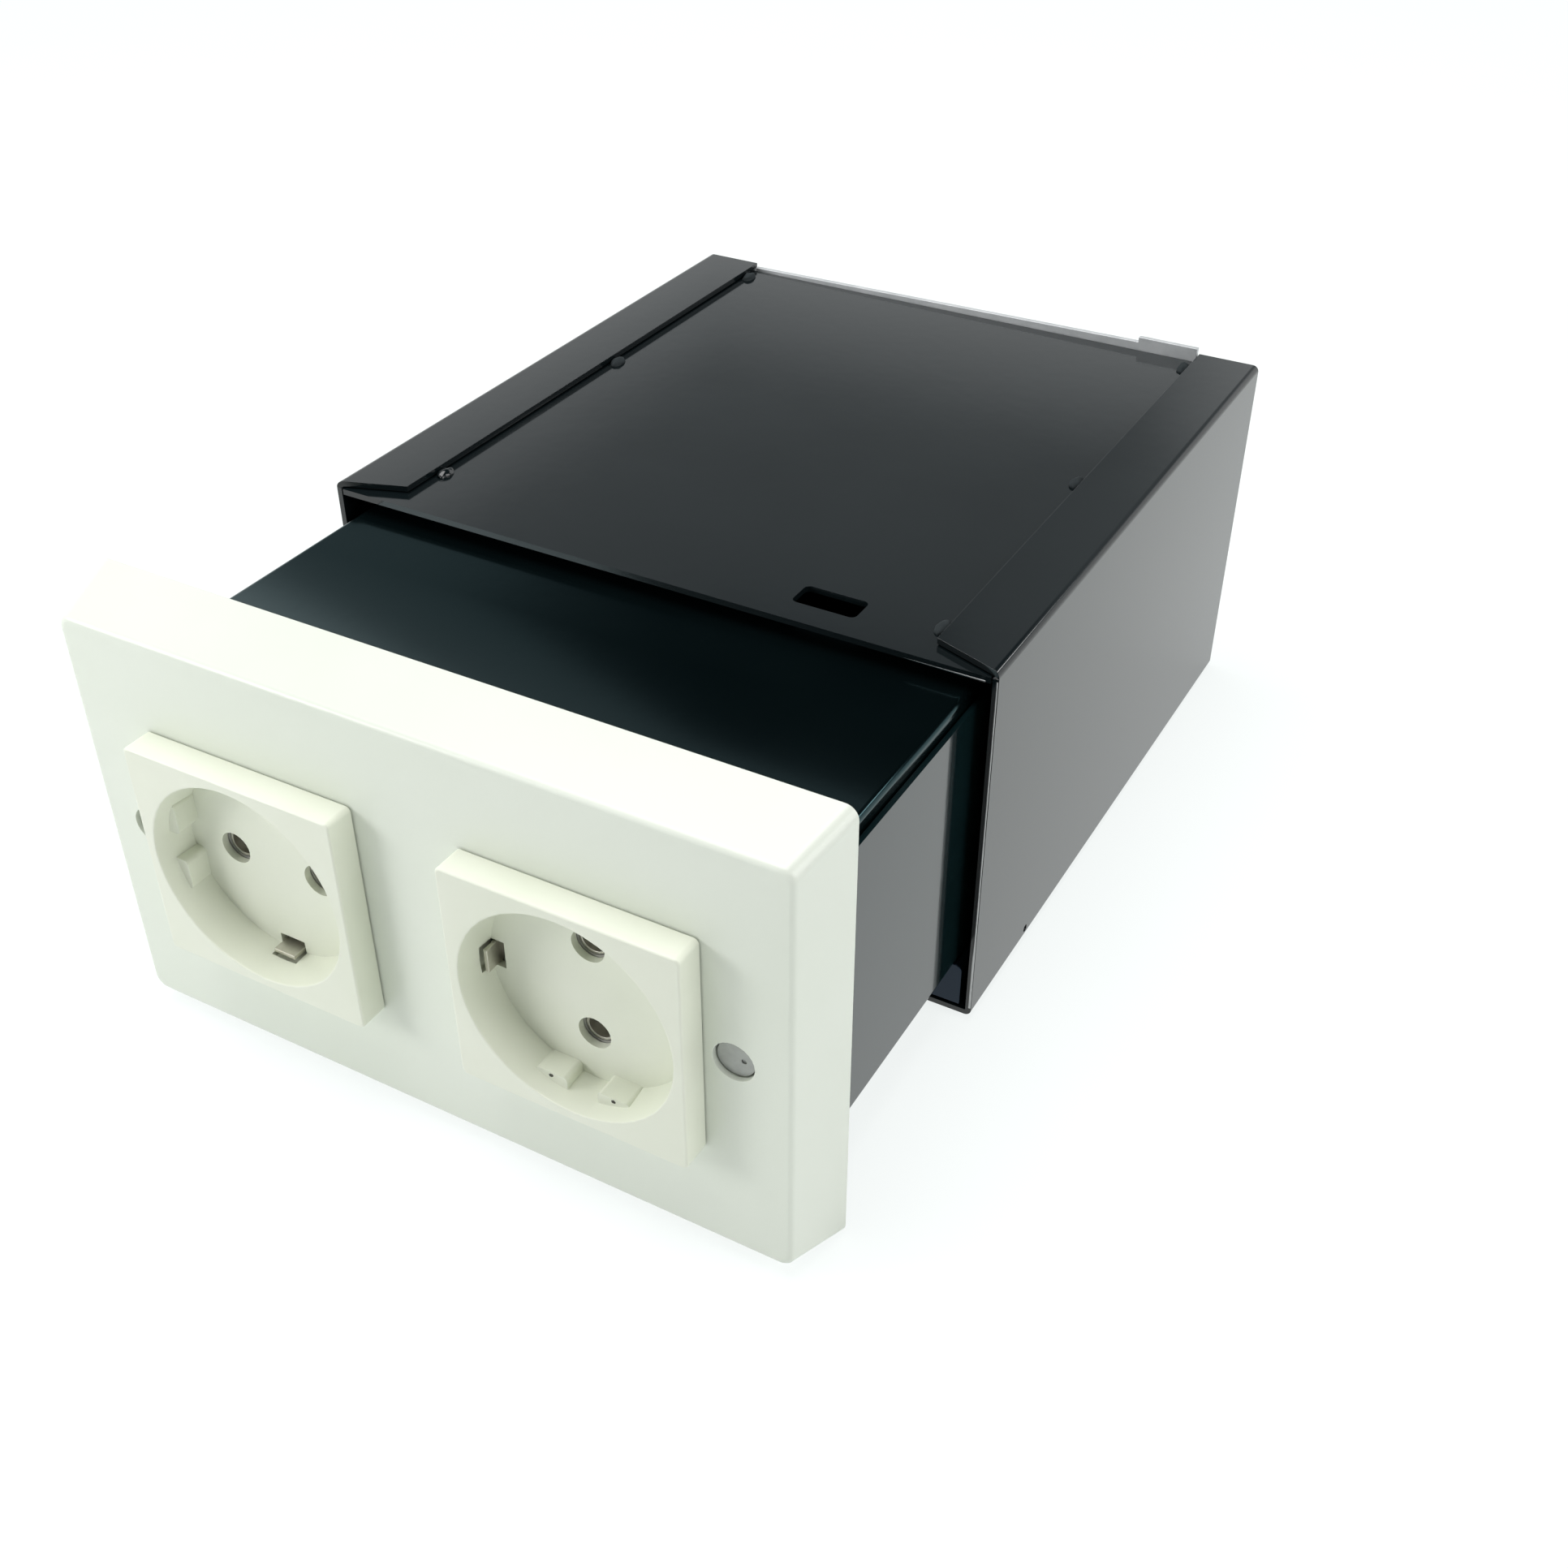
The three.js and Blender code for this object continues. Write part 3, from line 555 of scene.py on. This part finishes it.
# %% Finishes for the pieces
FINISHES = {
    "face_plate": abs_white,
    "socket_cover": urea_white,
    "sleeve_rear": dull_zinc,
    "sleeve_shell": flanged_enamel,
    "sleeve": sleeve_enamel,
    "runner": runner_enamel,
    "drawer_deck": deck_enamel,
    "drawer": drawer_enamel,
    "lock_plug": satin_nickel,
    "blank_pin": satin_nickel,
    "rivet": satin_nickel,
    "lock_bushing": bright_zinc,
    "lock_cam": bright_zinc,
    "cam_screw": bright_zinc,
    "plate_screw": bright_zinc,
    "mounting_plate": bright_zinc,
    "insert_frame": bright_zinc,
    "contact_tube": tinned_brass,
    "earth_strap": tinned_brass,
    "socket_base": phenolic,
}
for name, piece in nodes.items():
    finish = next(made for start, made in FINISHES.items() if name.startswith(start))
    piece.data.materials.clear()
    piece.data.materials.append(finish)
print("dressed", len(nodes), "pieces")

# %% [markdown]
# No real edge is a knife. A moulding has a small radius from its tool, and paint flows round
# the edge of a sheet. Four modifiers do this without touching the mesh below them. The frame's
# triangles each have corners of their own, so these are joined first. Then the flat faces are
# merged, every sharp edge is rounded, and last the shading follows the large faces. The top
# plate is shaded flat, so that the beads on it don't pull at the shading of its large face.

# %% Soft edges
EDGE_RADII = {
    "face_plate": 0.3 * MM,
    "socket_cover": 0.25 * MM,
    "sleeve_top": 0.35 * MM,
    "sleeve": 0.25 * MM,
    "drawer": 0.25 * MM,
    "runner": 0.2 * MM,
}
SMALL_RADIUS = 0.12 * MM
JOIN_DISTANCE = 0.002 * MM
FLAT = math.radians(1)
SHARP = math.radians(32)


def soften(piece, radius, smooth):
    """Rounds the piece's sharp edges by modifiers, and shades its curved faces smooth or flat."""
    for face in piece.data.polygons:
        face.use_smooth = smooth
    join = piece.modifiers.new("join_corners", "WELD")
    join.merge_threshold = JOIN_DISTANCE
    flatten = piece.modifiers.new("merge_flat_faces", "DECIMATE")
    flatten.decimate_type = "DISSOLVE"
    flatten.angle_limit = FLAT
    edge = piece.modifiers.new("round_edges", "BEVEL")
    edge.limit_method = "ANGLE"
    edge.angle_limit = SHARP
    edge.width = radius
    edge.segments = 2
    edge.harden_normals = True
    shading = piece.modifiers.new("shade_by_area", "WEIGHTED_NORMAL")
    shading.keep_sharp = True


for name, piece in nodes.items():
    radius = next((r for start, r in EDGE_RADII.items() if name.startswith(start)), SMALL_RADIUS)
    soften(piece, radius, name != "sleeve_top_plate")
print("edges rounded by", SMALL_RADIUS / MM, "to", max(EDGE_RADII.values()) / MM, "mm")

# %% [markdown]
# ## Tacks of weld
#
# The top plate is held by short tacks of weld beside each flange. The frame has them as plain
# beads. A real tack is a frozen puddle: longer than it is wide, and lumpy. So each bead is
# covered by a stretched sphere whose points are pushed in and out by a smooth noise, with its
# own seed, so that no two are alike. Paint sits dull on them, but the first one on the left is
# smooth enough to catch a lamp.

# %% Weld tacks
LEFT_TACK_SHARES = (0.105, 0.543, 0.955)  # of the sleeve's depth, from its mouth
RIGHT_TACK_SHARES = (0.072, 0.51, 0.955)
TACK_HALF = Vector((1.35, 2.35, 1.2)) * MM
TACK_LUMPS = 0.15  # of the tack's own size
TACK_FROM_FLANGE = 1.4 * MM
LUMPS_PER_HALF = 1.6  # how fine the lumps are
TAB_RISE = 3.0 * MM  # the top of the rear wall's tab over the top plate
plate_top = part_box("sleeve_rear_wall")[1].z - TAB_RISE


def weld_tack(name, centre, seed, finish):
    """A lumpy puddle of weld on the sleeve, painted over with it."""
    ball = bmesh.new()
    bmesh.ops.create_icosphere(ball, subdivisions=4, radius=1)
    for point in ball.verts:
        lump = 1 + TACK_LUMPS * noise.noise(LUMPS_PER_HALF * point.co + Vector((seed, 0, 0)))
        point.co = lump * point.co * TACK_HALF + centre
    mesh = bpy.data.meshes.new(name)
    ball.to_mesh(mesh)
    ball.free()
    for face in mesh.polygons:
        face.use_smooth = True
    tack = bpy.data.objects.new(name, mesh)
    bpy.context.scene.collection.objects.link(tack)
    tack.data.materials.append(finish)
    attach(tack, "sleeve")
    return tack


sleeve_depth = sleeve_high.y - sleeve_low.y
for side, name, shares in ((-1, "left", LEFT_TACK_SHARES), (1, "right", RIGHT_TACK_SHARES)):
    edge_x = side * (sleeve_high.x - FLANGE_WIDTH - TACK_FROM_FLANGE)
    for index, share in enumerate(shares):
        spot = Vector((edge_x, sleeve_low.y + share * sleeve_depth, plate_top))
        finish = sleeve_enamel if (name, index) == ("left", 0) else tack_enamel
        tack = weld_tack(f"weld_tack_{name}_{index + 1}", spot, 10 * (side + 2) + index, finish)
        print(tack.name, [round(v / MM, 1) for v in spot])

# %% [markdown]
# ## Painted highlights on two edges
#
# Two slivers of bright steel are painted highlights: each stands in for the light that a rounded
# edge catches, along the top plate's front edge near its right corner, and along the front edge
# of the sleeve's right wall. Each bright line is a fraction of a millimetre wide. A curve along
# the edge, whose radius shrinks towards its start, gives the sliver its shape, and is turned
# into a mesh.


# %% Painted highlights on edges
# The slivers below are painted highlights, not wear: bright steel along two edges.
highlight_metal = plated_metal("painted_highlight_steel", "#9C9D9D", "#AEAFAF", 0.3, 0.4, 0.8)
HIGHLIGHT_STEPS = 48
WAVER = 0.03 * MM  # how far a line strays from the straight
WAVER_SPAN = 9  # how often it can stray: the length of the noise that it runs through
FRONT_LENGTH = 45 * MM
FRONT_END = 2.5 * MM  # from the sleeve's right side
FRONT_SUNK = 0.1 * MM  # behind the top plate's front face
FRONT_RISE = 0.15 * MM  # over its lower face
FRONT_RADIUS = 0.22 * MM
WALL_INSET = 0.35 * MM  # from the right wall's outer face
WALL_SUNK = 0.15 * MM  # behind its front face
WALL_ENDS = 2 * MM  # from its top and its foot
WALL_RADIUS = 0.3 * MM


# Each sliver is a painted highlight: a thin line of bright steel along an edge.
def painted_edge_highlight(name, start, end, radius, thin):
    """A bright sliver whose radius grows from a share of it, thin, to the full one at its end."""
    curve = bpy.data.curves.new(name, "CURVE")
    curve.dimensions = "3D"
    curve.bevel_depth = radius
    curve.bevel_resolution = 3
    curve.use_fill_caps = True
    line = curve.splines.new("POLY")
    line.points.add(HIGHLIGHT_STEPS)
    for index, point in enumerate(line.points):
        share = index / HIGHLIGHT_STEPS
        shift = WAVER * noise.noise(Vector((WAVER_SPAN * share, 0, 3)))
        point.co = (*(start.lerp(end, share) + Vector((0, shift, 0))), 1)
        point.radius = thin + (1 - thin) * share**2
    drawn = bpy.data.objects.new(name + "_curve", curve)
    bpy.context.scene.collection.objects.link(drawn)
    bpy.context.view_layer.update()
    mesh = bpy.data.meshes.new_from_object(drawn)
    bpy.data.objects.remove(drawn)
    for face in mesh.polygons:
        face.use_smooth = True
    sliver = bpy.data.objects.new(name, mesh)
    bpy.context.scene.collection.objects.link(sliver)
    mesh.materials.clear()
    mesh.materials.append(highlight_metal)
    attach(sliver, "sleeve")


# A painted highlight along the top plate's front edge, towards its right corner.
plate_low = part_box("sleeve_top_plate")[0]
right_end = Vector(
    (sleeve_high.x - FRONT_END, plate_low.y + FRONT_SUNK, plate_low.z + FRONT_RISE)
)
left_end = right_end - Vector((FRONT_LENGTH, 0, 0))
painted_edge_highlight("front_edge_highlight", left_end, right_end, FRONT_RADIUS, thin=0.1)
# A painted highlight along the front edge of the sleeve's right wall.
wall_x, wall_y = sleeve_high.x - WALL_INSET, sleeve_low.y + WALL_SUNK
top_end = Vector((wall_x, wall_y, sleeve_high.z - WALL_ENDS))
foot_end = Vector((wall_x, wall_y, sleeve_low.z + WALL_ENDS))
painted_edge_highlight("mouth_edge_highlight", top_end, foot_end, WALL_RADIUS, thin=0.8)

# %% [markdown]
# ## Dark specks
#
# At the ends of the lower guide ribs of the right insert, a dark speck sits in the plastic. Each
# is a flat drop less than a millimetre wide, sunk into the rib's end.

# %% Dark specks
speck_finish, tree, output, place = new_material("dark_spotted_urea")
specks = noise_over(tree, place, 0.4)
add_surface(
    tree,
    output,
    {
        "Base Color": tint_by(tree, specks, "#35342E", "#57554B", ends=(0.35, 0.65)),
        "Roughness": 0.6,
    },
)

RIB_SPACING = 12.4 * MM
RIB_END_DROP = 18.2 * MM  # from the insert's centre to the middle of a rib's end
RIB_END_DEPTH = 3.5 * MM  # behind the insert's face
MARK_HALF = Vector((0.42, 0.16, 0.34)) * MM
MARK_LUMPS = 0.35  # of the mark's own size
MARK_LUMPS_PER_HALF = 2
cover_low, cover_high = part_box("socket_cover_right")
cover_middle = (cover_low + cover_high) / 2
for index, side in enumerate((-1, 1)):
    ball = bmesh.new()
    bmesh.ops.create_uvsphere(ball, u_segments=20, v_segments=12, radius=1)
    spot = Vector(
        (
            cover_middle.x + side * RIB_SPACING / 2,
            cover_low.y + RIB_END_DEPTH,
            cover_middle.z - RIB_END_DROP,
        )
    )
    for point in ball.verts:
        coordinate = MARK_LUMPS_PER_HALF * point.co + Vector((index, 5, 0))
        point.co = (1 + MARK_LUMPS * noise.noise(coordinate)) * point.co * MARK_HALF + spot
    mesh = bpy.data.meshes.new(f"dark_speck_{index + 1}")
    ball.to_mesh(mesh)
    ball.free()
    mark = bpy.data.objects.new(f"dark_speck_{index + 1}", mesh)
    bpy.context.scene.collection.objects.link(mark)
    mark.data.materials.append(speck_finish)
    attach(mark, "drawer")
print("the last dark speck is at", [round(v / MM, 1) for v in spot])

# %% End
print("the scene is built")
